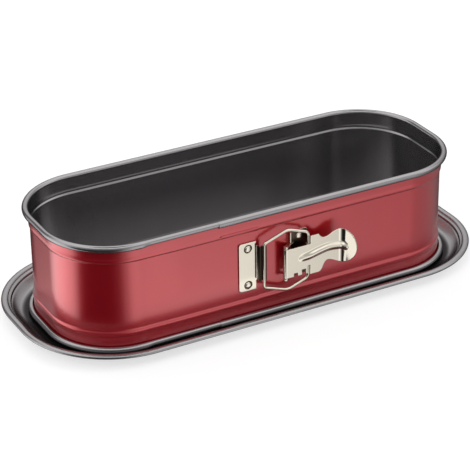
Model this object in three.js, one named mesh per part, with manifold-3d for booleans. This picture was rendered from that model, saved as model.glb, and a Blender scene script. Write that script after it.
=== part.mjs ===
// A loaf pan with a loose base: a spring-steel ring, drawn tight by a toggle latch, stands in a rimmed tray.
// X runs along the pan, -Y is the latch side and +Z is up, from an origin under the middle of the tray.
// Sizes are in millimetres. On the latch side, "out" is the distance from the wall, towards -Y.
import * as THREE from "three";
import { mergeVertices } from "three/addons/utils/BufferGeometryUtils.js";
import Module from "manifold-3d";

const wasm = await Module();
wasm.setup();

// Ring in plan, over the rim curl
const ringLength = 304.6;
const ringWidth = 120.4;
const ringCornerRadius = 49.4;

// Ring section
const bandHeight = 79;
const bandSheet = 0.5;
const curlRadius = 2.3;
const curlTurn = THREE.MathUtils.degToRad(290);
const beadDepth = 0.5;
const beadHeight = 2.6;
const beadToEdge = 13.2;

// Lap of the ring's two ends, under the latch
const plyGap = 0.3;
const neckLength = 6;
const tongueLength = 29;
const curlEngagement = 1.6;
const tongueMargin = 1.6;
const notchRadius = 0.9;

// Base tray
const baseSheet = 0.6;
const plateauHeight = 4.6;
const plateauClearance = 0.6;
const baseBendRadius = 1;
const channelMargin = 1.6;
const flangeWidth = 9.4;
const flangeRise = 5.9;
const flangeStepWidth = 1.2;
const flangeStepRise = 1.3;
const flangeLandWidth = 1.3;
const baseRollRadius = 2.4;
const baseRollTurn = THREE.MathUtils.degToRad(280);

// Latch
const latchSheet = 0.8;
const seatGap = 0.05;
const pinX = 0.9;
const pinRadius = 0.8;
const pinHeadRadius = 1.5;
const pinHeadHeight = 0.7;
const pinClearance = 0.12;
const leverStandoff = 7.4;

// Lever, measured from its pin
const wireSeat = 17.65;
const tongueTop = 8.3;
const tongueBottom = 13.2;
const shoulderStart = 18.2;
const shoulderEnd = 24.5;
const shoulderHeight = 14.4;
const slotWidth = 1.9;
const slotDepth = 5.8;
const smallNotchX = 5.6;
const smallNotchWidth = 3.1;
const smallNotchDepth = 2.4;
const largeNotchX = 11.8;
const largeNotchWidth = 3.2;
const largeNotchDepth = 3.8;
const neckTopX = 29;
const neckTopHeight = 10.9;
const neckBottomX = 31.8;
const neckBottomHeight = 6.8;
const tabCentreX = 40.3;
const tabCentreHeight = 1.3;
const tabRadius = 13;
const tabUpperJoin = THREE.MathUtils.degToRad(120);
const tabLowerJoin = THREE.MathUtils.degToRad(-74);
const creaseX = 42.4;
const creaseRadius = 4;
const creaseAngle = THREE.MathUtils.degToRad(50);
const ribStart = 8.9;
const ribPastCrease = 1.7;
const ribRise = 2;
const ribSway = 2.85;
const ribWidth = 7.2;
const ribEndRadius = 3.4;
const ribStationShares = [
  { along: 0, sway: -0.24, width: 0.86 },
  { along: 0.2, sway: 0, width: 0.97 },
  { along: 0.4, sway: 0.58, width: 1 },
  { along: 0.6, sway: 1, width: 0.99 },
  { along: 0.8, sway: 0.76, width: 0.99 },
  { along: 1, sway: 0.16, width: 0.98 },
];
const lugHeight = 3.6;
const lugStart = THREE.MathUtils.degToRad(120);
const lugEnd = THREE.MathUtils.degToRad(330);
const barrelLip = THREE.MathUtils.degToRad(10);

// Bail
const wireRadius = 1.1;
const wireClearance = 0.15;
const bailLength = 33.95;
const bailCatchHalf = 16.3;
const bailWidestHalf = 22.6;
const bailWidestX = 17.8;
const bailLeverHalf = 17;
const bailBend = 3.4;
const bailCatchBend = 1.6;
const bailSeam = 0.4;

// Catch plate
const plateWidth = 12.8;
const plateHeight = 36;
const rivetInset = 4.5;
const plateCorner = 2;
const crestRadius = 0.7;
const hookLip = 0.2;
const hookBottom = 11;
const seatPlay = 0.5;
const seatDip = THREE.MathUtils.degToRad(20);
const riserLean = 0.3;
const riserBend = 0.6;

// Lever bracket
const bracketWidth = 14.2;
const bracketLeft = 5.1;
const bracketTop = 18;
const bracketRivetMargin = 2.1;
const bracketCorner = 1.4;
const flangeHeight = 3;
const earThickness = 1;
const earClearance = 0.3;
const earFoot = 3.8;
const earMargin = 1.1;

// Rivets
const rivetShank = 1.5;
const rivetHead = 2.3;
const rivetHeadHeight = 1.2;
const rivetClearance = 0.1;
const rivetTailHeight = 0.6;
const catchRivetInset = 6.8;
const bracketRivetX = 12.4;

// Facets
const cornerSteps = 8;
const sectionSteps = 4;
const roundSides = 18;
const wireSides = 5;
const wireSteps = 66;
const ribSteps = 16;
const ribSides = 8;
const tabSteps = 20;
const overrun = 2;
const overlap = 0.05;
const weldDistance = 1e-4;

// Places that follow from the sizes
const halfLength = ringLength / 2 - curlRadius;
const halfWidth = ringWidth / 2 - curlRadius;
const planRadius = ringCornerRadius - curlRadius;
const cornerX = halfLength - planRadius;
const cornerY = halfWidth - planRadius;
const lowCurlZ = baseSheet + seatGap + curlRadius;
const rimCurlZ = lowCurlZ + bandHeight - 2 * curlRadius;
const upperBeadZ = rimCurlZ + curlRadius - beadToEdge;
const lowerBeadZ = lowCurlZ - curlRadius + beadToEdge;
const latchZ = (lowCurlZ + rimCurlZ) / 2;
const wallFront = halfWidth - curlRadius + bandSheet - beadDepth;
const plyStep = bandSheet + plyGap;
const neckedRadius = curlRadius - plyStep;
const barrelRadius = pinRadius + pinClearance + latchSheet;
const pinOut = leverStandoff - barrelRadius;
const wireOut = leverStandoff - latchSheet - wireClearance - wireRadius;
const seatRadius = wireRadius + wireClearance + latchSheet / 2;
const leverWireX = pinX + wireSeat;
const catchWireX = leverWireX - bailLength;
const crestX = catchWireX - seatPlay - (seatRadius + crestRadius) * Math.cos(seatDip);
const crestOut = wireOut - (seatRadius + crestRadius) * Math.sin(seatDip);
const catchOut = plyStep + seatGap + latchSheet / 2;
const plateRight = crestX - crestRadius - riserLean - riserBend / 2;
const plateLeft = plateRight - plateWidth;
const catchRivetX = plateLeft + catchRivetInset;
const hookTop = bailCatchHalf - bailCatchBend - wireClearance;
const catchRivetHeights = [plateHeight / 2 - rivetInset, rivetInset - plateHeight / 2];
const bracketBottom = tongueBottom + earClearance + earThickness + earMargin;
const bracketRivetHeights = [bracketTop - rivetInset, bracketRivetMargin - bracketBottom];
const ribEnd = creaseX + creaseRadius * creaseAngle + ribPastCrease;
const tongueEndX = plateRight + tongueMargin;
const notchX = tongueEndX - tongueLength;
const lapX = notchX - curlEngagement;

// A closed geometry as a solid that can be joined and cut.
function solid(geometry) {
  const bare = new THREE.BufferGeometry();
  bare.setAttribute("position", geometry.getAttribute("position"));
  bare.setIndex(geometry.index);
  const merged = mergeVertices(bare, weldDistance);
  const vertProperties = new Float32Array(merged.attributes.position.array);
  const triVerts = new Uint32Array(merged.index.array);
  return new wasm.Manifold(new wasm.Mesh({ numProp: 3, vertProperties, triVerts }));
}

function geometryOf(body) {
  const { vertProperties, triVerts } = body.getMesh();
  const geometry = new THREE.BufferGeometry();
  geometry.setAttribute("position", new THREE.BufferAttribute(vertProperties, 3));
  geometry.setIndex(new THREE.BufferAttribute(triVerts, 1));
  return geometry.toNonIndexed();
}

function part(name, body, material) {
  const geometry = body.isBufferGeometry ? body : geometryOf(body);
  geometry.computeVertexNormals();
  const mesh = new THREE.Mesh(geometry, new THREE.MeshStandardMaterial(material));
  mesh.name = name;
  return mesh;
}

// Outline of a bent sheet from its middle line: down the right side, then back up the left.
function thicken(line, thickness) {
  const offset = (sign) =>
    line.map((point, i) => {
      const into = point.clone().sub(line[Math.max(i - 1, 0)]).normalize();
      const away = line[Math.min(i + 1, line.length - 1)].clone().sub(point).normalize();
      const along = into.clone().add(away).normalize();
      const reach = thickness / 2 / Math.max(along.dot(i ? into : away), 1 / 2);
      return new THREE.Vector2(point.x - sign * along.y * reach, point.y + sign * along.x * reach);
    });
  return [...offset(-1), ...offset(1).reverse()];
}

// Skins a row of rings of equal count. The flat ends are filled with the outline given.
function loft(rings, capOutline) {
  const count = rings[0].length;
  const last = (rings.length - 1) * count;
  const index = [];
  for (let i = 0; i < last; i += count) {
    for (let j = 0; j < count; j += 1) {
      const a = i + j;
      const b = i + ((j + 1) % count);
      index.push(a, b, b + count, a, b + count, a + count);
    }
  }
  const turn = Math.sign(THREE.ShapeUtils.area(capOutline));
  for (const face of THREE.ShapeUtils.triangulateShape(capOutline, [])) {
    const area = THREE.ShapeUtils.area(face.map((i) => capOutline[i]));
    const [a, b, c] = area * turn > 0 ? face : face.toReversed();
    index.push(c, b, a, last + a, last + b, last + c);
  }
  const geometry = new THREE.BufferGeometry().setFromPoints(rings.flat());
  geometry.setIndex(index);
  return geometry;
}

// Points round one plan corner, with the direction that faces out of the pan at each.
function cornerStations(signX, signY, startTurns, direction) {
  return Array.from({ length: cornerSteps + 1 }, (_, i) => {
    const angle = ((startTurns + (direction * i) / cornerSteps) * Math.PI) / 2;
    const facing = new THREE.Vector2(Math.cos(angle), Math.sin(angle));
    const centre = new THREE.Vector2(signX * cornerX, signY * cornerY);
    return { at: centre.addScaledVector(facing, planRadius), facing, radius: curlRadius };
  });
}

function sideStation(x, side, radius = curlRadius) {
  return { at: new THREE.Vector2(x, side * halfWidth), facing: new THREE.Vector2(0, side), radius };
}

// Middle line of the ring's sheet, across and up from the curls' centre line.
function bandLine(radius) {
  const r = radius - bandSheet / 2;
  const bend = beadHeight / 2;
  const path = new THREE.Path();
  path.absarc(0, rimCurlZ, r, Math.PI - curlTurn, Math.PI, false);
  path.lineTo(-r, upperBeadZ + bend);
  path.bezierCurveTo(-r, upperBeadZ, -r - beadDepth, upperBeadZ, -r - beadDepth, upperBeadZ - bend);
  path.lineTo(-r - beadDepth, lowerBeadZ + bend);
  path.bezierCurveTo(-r - beadDepth, lowerBeadZ, -r, lowerBeadZ, -r, lowerBeadZ - bend);
  path.absarc(0, lowCurlZ, r, Math.PI, Math.PI + curlTurn, false);
  return path.getPoints(sectionSteps);
}

function bandThrough(stations) {
  const rings = stations.map(({ at, facing, radius }) =>
    thicken(bandLine(radius), bandSheet).map(
      (p) => new THREE.Vector3(at.x + facing.x * p.x, at.y + facing.y * p.x, p.y),
    ),
  );
  return solid(loft(rings, thicken(bandLine(curlRadius), bandSheet)));
}

// The left end narrows its curls, so that they slide into those of the right end, and its wall lies outside.
function leftBand() {
  const neck = Array.from({ length: sectionSteps + 1 }, (_, i) => {
    const share = i / sectionSteps;
    const radius = THREE.MathUtils.lerp(neckedRadius, curlRadius, THREE.MathUtils.smoothstep(share, 0, 1));
    return sideStation(neckLength * (1 - share) - cornerX, -1, radius);
  });
  const body = bandThrough([
    sideStation(tongueEndX, -1, neckedRadius),
    ...neck.slice(0, -1),
    ...cornerStations(-1, -1, -1, -1),
    ...cornerStations(-1, 1, 2, -1),
    sideStation(0, 1),
  ]);
  return [-1, 1].reduce((left, side) => left.subtract(tongueCut(side)), body);
}

// Cuts the curl and its band off the tongue, with a round relief in the corner.
function tongueCut(side) {
  const edge = side * (upperBeadZ - lowerBeadZ) / 2 - side * beadHeight / 2;
  const corner = new THREE.Shape();
  corner.moveTo(notchX, edge);
  corner.lineTo(tongueEndX + overrun, edge);
  corner.lineTo(tongueEndX + overrun, side * bandHeight);
  corner.lineTo(notchX, side * bandHeight);
  const depth = 4 * curlRadius + overrun;
  const place = (geometry) =>
    solid(geometry.rotateX(Math.PI / 2).translate(0, -halfWidth + depth / 2, latchZ));
  const block = new THREE.ExtrudeGeometry(corner, { depth, bevelEnabled: false });
  const relief = new THREE.CylinderGeometry(notchRadius, notchRadius, depth, roundSides);
  relief.rotateX(Math.PI / 2).translate(notchX + notchRadius / 2, edge, depth / 2);
  return place(block).add(place(relief));
}

function rightBand() {
  return bandThrough([
    sideStation(0, 1),
    ...cornerStations(1, 1, 1, -1),
    ...cornerStations(1, -1, 0, -1),
    sideStation(lapX, -1),
  ]);
}

function rivetHole(x, height, depth) {
  const hole = new THREE.CylinderGeometry(
    rivetShank + rivetClearance, rivetShank + rivetClearance, depth, roundSides,
  );
  return solid(hole.translate(x, 0, height));
}

function drillRivets(body, x, heights, depth) {
  return heights.reduce((left, height) => left.subtract(rivetHole(x, height, depth)), body);
}

function sideWall() {
  const holes = (body, x, heights) =>
    drillRivets(body.translate([0, wallFront, -latchZ]), x, heights, overrun * 2 + plyStep)
      .translate([0, -wallFront, latchZ]);
  const left = holes(leftBand(), catchRivetX, catchRivetHeights);
  const right = holes(rightBand(), pinX + bracketRivetX, bracketRivetHeights);
  return left.add(right);
}

// Plan loop of the tray, a distance out from the ring's centre line.
function trayLoop(out, height) {
  const corners = [[-1, -1, 2], [1, -1, 3], [1, 1, 0], [-1, 1, 1]];
  return corners
    .flatMap(([x, y, turns]) => cornerStations(x, y, turns, 1))
    .map(({ at, facing }) => new THREE.Vector3(at.x + facing.x * out, at.y + facing.y * out, height));
}

// Middle line of the tray, from its raised floor out to the rolled rim.
function trayLine() {
  const floor = baseSheet / 2;
  const top = plateauHeight - baseSheet / 2;
  const skirt = -(curlRadius + plateauClearance + baseSheet / 2);
  const bend = baseBendRadius;
  const flange = curlRadius + channelMargin;
  const step = flange + flangeWidth;
  const land = step + flangeStepWidth + flangeLandWidth;
  const landZ = floor + flangeRise + flangeStepRise;
  const roll = baseRollRadius - baseSheet / 2;
  const path = new THREE.Path();
  path.absarc(skirt - bend, top - bend, bend, Math.PI / 2, 0, true);
  path.absarc(skirt + bend, floor + bend, bend, Math.PI, (3 * Math.PI) / 2, false);
  path.lineTo(flange, floor);
  path.quadraticCurveTo(flange + flangeWidth / 2, floor, step, floor + flangeRise);
  path.bezierCurveTo(
    step + flangeStepWidth / 2, floor + flangeRise, step + flangeStepWidth / 2, landZ,
    step + flangeStepWidth, landZ,
  );
  path.lineTo(land, landZ);
  path.absarc(land + roll, landZ + roll, roll, Math.PI, Math.PI - baseRollTurn, true);
  return path.getPoints(sectionSteps);
}

function basePlate() {
  const loops = thicken(trayLine(), baseSheet).map((p) => trayLoop(p.x, p.y));
  return solid(loft(loops, loops[0].map((p) => new THREE.Vector2(p.x, p.y))));
}

// A pressed sheet: its bent section, seen from above, run up and trimmed to its outline, seen from the front.
function pressedSheet(section, outline) {
  const points = outline.extractPoints(sectionSteps).shape;
  const bounds = new THREE.Box2().setFromPoints(points);
  const depth = bounds.max.y - bounds.min.y + 2 * overrun;
  const shape = new THREE.Shape(thicken(section, latchSheet).map((p) => new THREE.Vector2(p.x, -p.y)));
  const run = new THREE.ExtrudeGeometry(shape, { depth, bevelEnabled: false });
  run.translate(0, 0, bounds.min.y - overrun);
  const reach = 2 * leverStandoff + overrun;
  const trim = new THREE.ExtrudeGeometry(new THREE.Shape(points), { depth: 2 * reach, bevelEnabled: false });
  trim.rotateX(Math.PI / 2).translate(0, reach, 0);
  return solid(run).intersect(solid(trim));
}

// The plate on the tongue rises to a crest, then dips into the seat that holds the bail and ends in a lip.
function catchPlate() {
  const section = new THREE.Path();
  section.moveTo(plateLeft - overrun, catchOut);
  section.lineTo(plateRight - riserBend, catchOut);
  section.quadraticCurveTo(plateRight, catchOut, plateRight + riserBend / 2, catchOut + riserBend);
  section.absarc(crestX, crestOut, crestRadius, Math.PI - seatDip / 2, seatDip, true);
  section.absarc(catchWireX - seatPlay, wireOut, seatRadius, Math.PI + seatDip, 1.5 * Math.PI, false);
  section.absarc(catchWireX, wireOut, seatRadius, 1.5 * Math.PI, 2 * Math.PI, false);
  section.lineTo(catchWireX + seatRadius, wireOut + hookLip);
  const right = plateRight - riserBend;
  const outline = new THREE.Shape();
  outline.moveTo(plateLeft + plateCorner, -plateHeight / 2);
  outline.lineTo(right, -plateHeight / 2);
  outline.lineTo(right, -hookBottom);
  outline.lineTo(catchWireX + seatRadius + overrun, -hookBottom);
  outline.lineTo(catchWireX + seatRadius + overrun, hookTop);
  outline.lineTo(right, hookTop);
  outline.lineTo(right, plateHeight / 2);
  outline.lineTo(plateLeft + plateCorner, plateHeight / 2);
  outline.absarc(plateLeft + plateCorner, plateHeight / 2 - plateCorner, plateCorner, Math.PI / 2, Math.PI, false);
  outline.absarc(plateLeft + plateCorner, plateCorner - plateHeight / 2, plateCorner, Math.PI, 1.5 * Math.PI, false);
  const plate = pressedSheet(section.getPoints(sectionSteps), outline);
  return drillRivets(plate, catchRivetX, catchRivetHeights, 2 * leverStandoff);
}

// An ear stands out from the bracket's plate and takes one end of the lever's pin.
function ear(height) {
  const shape = new THREE.Shape();
  const foot = pinX + bracketLeft;
  shape.moveTo(foot, -seatGap);
  shape.lineTo(pinX - barrelRadius, -pinOut);
  shape.absarc(pinX, -pinOut, barrelRadius, Math.PI, Math.PI * 2, false);
  shape.lineTo(foot + earFoot, -seatGap - latchSheet);
  shape.lineTo(foot + earFoot, -seatGap);
  const hole = new THREE.Path();
  hole.absarc(pinX, -pinOut, pinRadius + pinClearance, 0, 2 * Math.PI, true);
  shape.holes.push(hole);
  const geometry = new THREE.ExtrudeGeometry(shape, {
    depth: earThickness, bevelEnabled: false, curveSegments: roundSides / 2,
  });
  return solid(geometry.translate(0, 0, height));
}

function leverBracket() {
  const middle = seatGap + latchSheet / 2;
  const left = pinX + bracketLeft;
  const right = left + bracketWidth;
  const section = new THREE.Path();
  section.moveTo(left + latchSheet / 2, flangeHeight);
  section.lineTo(left + latchSheet / 2, middle + latchSheet);
  section.quadraticCurveTo(left + latchSheet / 2, middle, left + latchSheet / 2 + latchSheet, middle);
  section.lineTo(right + overrun, middle);
  const outline = new THREE.Shape();
  outline.moveTo(left - overrun, -bracketBottom);
  outline.lineTo(right - bracketCorner, -bracketBottom);
  outline.absarc(right - bracketCorner, bracketCorner - bracketBottom, bracketCorner, -Math.PI / 2, 0, false);
  outline.absarc(right - bracketCorner, bracketTop - bracketCorner, bracketCorner, 0, Math.PI / 2, false);
  outline.lineTo(left - overrun, bracketTop);
  const plate = pressedSheet(section.getPoints(sectionSteps), outline);
  const eared = plate
    .add(ear(tongueTop + earClearance))
    .add(ear(-tongueBottom - earClearance - earThickness));
  return drillRivets(eared, pinX + bracketRivetX, bracketRivetHeights, 2 * leverStandoff);
}

// Place and slope of the lever's middle line a distance along the flat sheet, before and after the crease.
function alongLever(distance) {
  const middle = barrelRadius - latchSheet / 2;
  const angle = THREE.MathUtils.clamp((distance - creaseX) / creaseRadius, 0, creaseAngle);
  const straight = Math.max(distance - creaseX - creaseRadius * creaseAngle, 0);
  const across = Math.min(distance, creaseX) + creaseRadius * Math.sin(angle);
  return {
    x: across + straight * Math.cos(angle),
    out: middle + creaseRadius * (1 - Math.cos(angle)) + straight * Math.sin(angle),
    angle,
  };
}

// The lever's stiffening rib, or the hollow on its back where a sheet's thickness is taken off.
function rib(sheet) {
  const stations = ribStationShares.map(
    ({ along, sway, width }) =>
      new THREE.Vector3(THREE.MathUtils.lerp(ribStart, ribEnd, along), ribSway * sway, ribWidth * width),
  );
  const line = new THREE.CatmullRomCurve3(stations);
  const rings = Array.from({ length: ribSteps + 1 }, (_, i) => {
    // The rings crowd toward the rib's rounded ends
    const along = (1 - Math.cos((Math.PI * i) / ribSteps)) / 2;
    const station = line.getPoint(along);
    const fromEnd = Math.min(along, 1 - along) * (ribEnd - ribStart);
    const swell = Math.sqrt(1 - (1 - Math.min(fromEnd / ribEndRadius, 1)) ** 2);
    const wide = Math.max((station.z / 2) * swell - sheet, overlap);
    const high = Math.max((ribRise + latchSheet / 2) * swell - sheet, overlap);
    const { x, out, angle } = alongLever(station.x);
    const place = (rise, side) => {
      const reach = out + rise * Math.cos(angle);
      return new THREE.Vector3(x - rise * Math.sin(angle), -reach, station.y + side);
    };
    const dome = Array.from({ length: ribSides + 1 }, (_, j) => {
      const turn = (Math.PI * j) / ribSides;
      return place(high * Math.sin(turn), wide * Math.cos(turn));
    });
    return sheet ? [...dome, place(-sheet, -wide), place(-sheet, wide)] : dome;
  });
  return solid(loft(rings, rings[0].map((p) => new THREE.Vector2(p.y, p.z))));
}

// Notch in the lower edge of the tongue, from left to right.
function notch(outline, x, width, depth) {
  outline.lineTo(x, -tongueBottom);
  outline.lineTo(x, depth - tongueBottom);
  outline.lineTo(x + width, depth - tongueBottom);
}

// Outline of the lever: tongue with its notches and slot, shoulders, waist and round thumb tab.
function leverOutline() {
  const outline = new THREE.Shape();
  outline.moveTo(-barrelRadius - overrun, -tongueBottom);
  notch(outline, smallNotchX, smallNotchWidth, smallNotchDepth);
  outline.lineTo(smallNotchX + smallNotchWidth, -tongueBottom);
  notch(outline, largeNotchX, largeNotchWidth, largeNotchDepth);
  outline.lineTo(largeNotchX + largeNotchWidth, -tongueBottom);
  notch(outline, shoulderStart - slotWidth, slotWidth, slotDepth);
  outline.lineTo(shoulderStart, -shoulderHeight);
  outline.lineTo(shoulderEnd, -shoulderHeight);
  const hollow = (neckBottomX - shoulderEnd) / 2;
  outline.bezierCurveTo(
    shoulderEnd + hollow, -shoulderHeight, neckBottomX - hollow, -neckBottomHeight,
    neckBottomX, -neckBottomHeight,
  );
  const rim = tabRim();
  const low = rim[0];
  const swing = (low.x - neckBottomX) / 3;
  outline.bezierCurveTo(neckBottomX + swing, -neckBottomHeight, low.x - swing, low.y, low.x, low.y);
  for (const point of rim) outline.lineTo(point.x, point.y);
  const high = rim.at(-1);
  outline.quadraticCurveTo((neckTopX + high.x) / 2, neckTopHeight, neckTopX, neckTopHeight);
  outline.quadraticCurveTo((shoulderEnd + neckTopX) / 2, neckTopHeight, shoulderEnd, shoulderHeight);
  outline.lineTo(shoulderStart, shoulderHeight);
  outline.lineTo(shoulderStart, tongueTop);
  outline.lineTo(-barrelRadius - overrun, tongueTop);
  return outline;
}

// Edge of the thumb tab, seen from the front: round in its own sheet, so the bend at the crease narrows it.
function tabRim() {
  return Array.from({ length: tabSteps + 1 }, (_, i) => {
    const angle = THREE.MathUtils.lerp(tabLowerJoin, tabUpperJoin, i / tabSteps);
    const { x } = alongLever(tabCentreX + tabRadius * Math.cos(angle));
    return new THREE.Vector2(x, tabCentreHeight + tabRadius * Math.sin(angle));
  });
}

// A lug curls from the back of the tongue round the bail's wire.
function lug(height) {
  const path = new THREE.Path();
  path.absarc(wireSeat, wireOut - pinOut, seatRadius, lugStart, lugEnd, false);
  const points = thicken(path.getPoints(sectionSteps), latchSheet);
  const shape = new THREE.Shape(points.map((p) => new THREE.Vector2(p.x, -p.y)));
  const geometry = new THREE.ExtrudeGeometry(shape, { depth: lugHeight, bevelEnabled: false });
  return solid(geometry.translate(0, 0, height));
}

function lever() {
  const r = barrelRadius - latchSheet / 2;
  const section = new THREE.Path();
  section.absarc(0, 0, r, barrelLip, (-3 * Math.PI) / 2, true);
  const bend = Array.from({ length: sectionSteps + 1 }, (_, i) => {
    const { x, out } = alongLever(creaseX + (creaseRadius * creaseAngle * i) / sectionSteps);
    return new THREE.Vector2(x, out);
  });
  const end = alongLever(tabCentreX + tabRadius + overrun);
  const line = [...section.getPoints(sectionSteps), ...bend, new THREE.Vector2(end.x, end.out)];
  const sheet = pressedSheet(line, leverOutline());
  return sheet
    .add(rib(0))
    .subtract(rib(latchSheet))
    .add(lug(tongueTop - lugHeight))
    .add(lug(slotDepth - tongueBottom));
}

// Bent wire ring. Its ends meet behind the lever's tongue.
function bail() {
  const vertices = [
    [0, bailLeverHalf, bailBend],
    [-bailLength + bailWidestX, bailWidestHalf, bailBend],
    [-bailLength, bailCatchHalf, bailCatchBend],
    [-bailLength, -bailCatchHalf, bailCatchBend],
    [-bailLength + bailWidestX, -bailWidestHalf, bailBend],
    [0, -bailLeverHalf, bailBend],
  ].map(([x, z, bend]) => ({ at: new THREE.Vector3(x, 0, z), bend }));
  const path = new THREE.CurvePath();
  let from = new THREE.Vector3(0, 0, bailSeam / 2);
  const finish = new THREE.Vector3(0, 0, -bailSeam / 2);
  vertices.forEach(({ at, bend }, i) => {
    const next = vertices[i + 1]?.at ?? finish;
    const start = at.clone().sub(at.clone().sub(from).setLength(bend));
    const end = at.clone().add(next.clone().sub(at).setLength(bend));
    path.add(new THREE.LineCurve3(from, start));
    path.add(new THREE.QuadraticBezierCurve3(start, at, end));
    from = end;
  });
  path.add(new THREE.LineCurve3(from, finish));
  const wire = new THREE.Shape().absarc(0, 0, wireRadius, 0, 2 * Math.PI, false);
  const options = { steps: wireSteps, extrudePath: path, curveSegments: wireSides };
  return solid(new THREE.ExtrudeGeometry(wire, options));
}

// A rivet with its domed head out and, unless it ends flush, a flat tail inside the pan.
function rivet(seat, tailSeat, tailHeight) {
  const profile = new THREE.Path();
  profile.moveTo(0, tailSeat - tailHeight);
  profile.lineTo(tailHeight ? rivetHead : rivetShank, tailSeat - tailHeight);
  profile.lineTo(tailHeight ? rivetHead : rivetShank, tailSeat);
  profile.lineTo(rivetShank, tailSeat);
  profile.lineTo(rivetShank, seat);
  profile.lineTo(rivetHead, seat);
  profile.absellipse(0, seat, rivetHead, rivetHeadHeight, 0, Math.PI / 2, false, 0);
  const points = profile.getPoints(2).filter((p, i, all) => !i || p.distanceTo(all[i - 1]) > weldDistance);
  points.at(-1).x = 0;
  return solid(new THREE.LatheGeometry(points, roundSides).rotateX(Math.PI));
}

function hingePin() {
  const top = tongueTop + earClearance + earThickness + seatGap;
  const bottom = -tongueBottom - earClearance - earThickness - seatGap;
  const outline = [
    [0, bottom - pinHeadHeight],
    [pinHeadRadius, bottom - pinHeadHeight],
    [pinHeadRadius, bottom],
    [pinRadius, bottom],
    [pinRadius, top],
    [pinHeadRadius, top],
    [pinHeadRadius, top + pinHeadHeight],
    [0, top + pinHeadHeight],
  ].map(([x, y]) => new THREE.Vector2(x, y));
  return solid(new THREE.LatheGeometry(outline, roundSides).rotateX(Math.PI / 2));
}

const enamel = { color: 0xa8323c, roughness: 0.35, metalness: 0.6 };
const nonStick = { color: 0x4a4648, roughness: 0.5, metalness: 0.3 };
const nickel = { color: 0xd8d2c4, roughness: 0.25, metalness: 1 };

const pan = new THREE.Group();
pan.add(part("base_plate", basePlate(), nonStick));
pan.add(part("side_wall", sideWall(), enamel));

const latch = new THREE.Group();
latch.position.set(0, -wallFront, latchZ);
pan.add(latch);
latch.add(part("catch_plate", catchPlate(), nickel));
latch.add(part("lever_bracket", leverBracket(), nickel));

const catchSeat = catchOut + latchSheet / 2 + seatGap;
const bracketSeat = latchSheet + 2 * seatGap;
for (const [i, place] of ["upper", "lower"].entries()) {
  const catchRivet = part(`catch_rivet_${place}`, rivet(catchSeat, plyGap, 0), nickel);
  catchRivet.position.set(catchRivetX, 0, catchRivetHeights[i]);
  const tail = -bandSheet - seatGap;
  const bracketRivet = part(`bracket_rivet_${place}`, rivet(bracketSeat, tail, rivetTailHeight), nickel);
  bracketRivet.position.set(pinX + bracketRivetX, 0, bracketRivetHeights[i]);
  latch.add(catchRivet, bracketRivet);
}

const pinGroup = new THREE.Group();
pinGroup.position.set(pinX, -pinOut, 0);
latch.add(pinGroup);
pinGroup.add(part("lever_hinge_pin", hingePin(), nickel));
pinGroup.add(part("lever", lever(), nickel));

const bailMesh = part("bail", bail(), nickel);
bailMesh.position.set(leverWireX, -wireOut, 0);
latch.add(bailMesh);

export default pan;
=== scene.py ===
import bmesh
import bpy
import math
import numpy as np
from mathutils import Matrix, Vector
from mathutils.geometry import delaunay_2d_cdt


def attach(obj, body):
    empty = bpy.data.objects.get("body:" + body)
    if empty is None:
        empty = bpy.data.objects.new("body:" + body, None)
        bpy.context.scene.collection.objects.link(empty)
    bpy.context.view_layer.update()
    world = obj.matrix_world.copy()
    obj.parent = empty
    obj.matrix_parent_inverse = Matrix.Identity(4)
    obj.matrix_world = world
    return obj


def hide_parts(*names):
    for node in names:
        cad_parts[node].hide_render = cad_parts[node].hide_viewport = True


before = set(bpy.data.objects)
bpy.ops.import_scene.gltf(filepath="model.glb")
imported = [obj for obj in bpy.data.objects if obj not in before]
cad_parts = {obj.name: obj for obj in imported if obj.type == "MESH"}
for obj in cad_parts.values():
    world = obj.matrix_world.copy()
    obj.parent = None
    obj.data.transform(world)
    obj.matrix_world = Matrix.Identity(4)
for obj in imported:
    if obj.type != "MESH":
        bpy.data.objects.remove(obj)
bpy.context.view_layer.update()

mm = 0.001
# sockets of the Mix node when it mixes colours
mixShare, mixFirst, mixSecond, mixedColour = 0, 6, 7, 2


# sRGB hex to linear
def linear(hexColour):
    shares = [int(hexColour[i:i + 2], 16) / 255 for i in (1, 3, 5)]
    return [v / 12.92 if v <= 0.04045 else ((v + 0.055) / 1.055) ** 2.4 for v in shares] + [1]


# one node with its settings, which are sockets where a socket has that name or number, and its links
def addNode(tree, kind, settings=None, links=None):
    made = tree.nodes.new(kind)
    for key, value in (settings or {}).items():
        if isinstance(key, int) or key in made.inputs:
            made.inputs[key].default_value = value
        else:
            setattr(made, key, value)
    for key, source in (links or {}).items():
        tree.links.new(source, made.inputs[key])
    return made


def newMaterial(name):
    material = bpy.data.materials.new(name)
    material.use_nodes = True
    material.node_tree.nodes.clear()
    return material, material.node_tree


# mesh object from points in mm, its faces numbered by kind where it has two materials
def addMesh(name, points, faces, materials, kinds=None):
    mesh = bpy.data.meshes.new(name)
    mesh.from_pydata([tuple(p) for p in np.asarray(points, float) * mm], [], faces)
    for material in materials:
        mesh.materials.append(material)
    if kinds is not None:
        mesh.polygons.foreach_set("material_index", kinds)
    obj = bpy.data.objects.new(name, mesh)
    bpy.context.scene.collection.objects.link(obj)
    return obj


# camera, fitted to the photograph
camera = dict(
    azimuth=-28.35, elevation=27.26, roll=-0.75, distance=1.35553, target=(0, 0, 0.0319),
    lens=149.85, sensor=36, shiftX=-0.0117, shiftY=0.00055, near=0.01, far=50,
)


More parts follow.
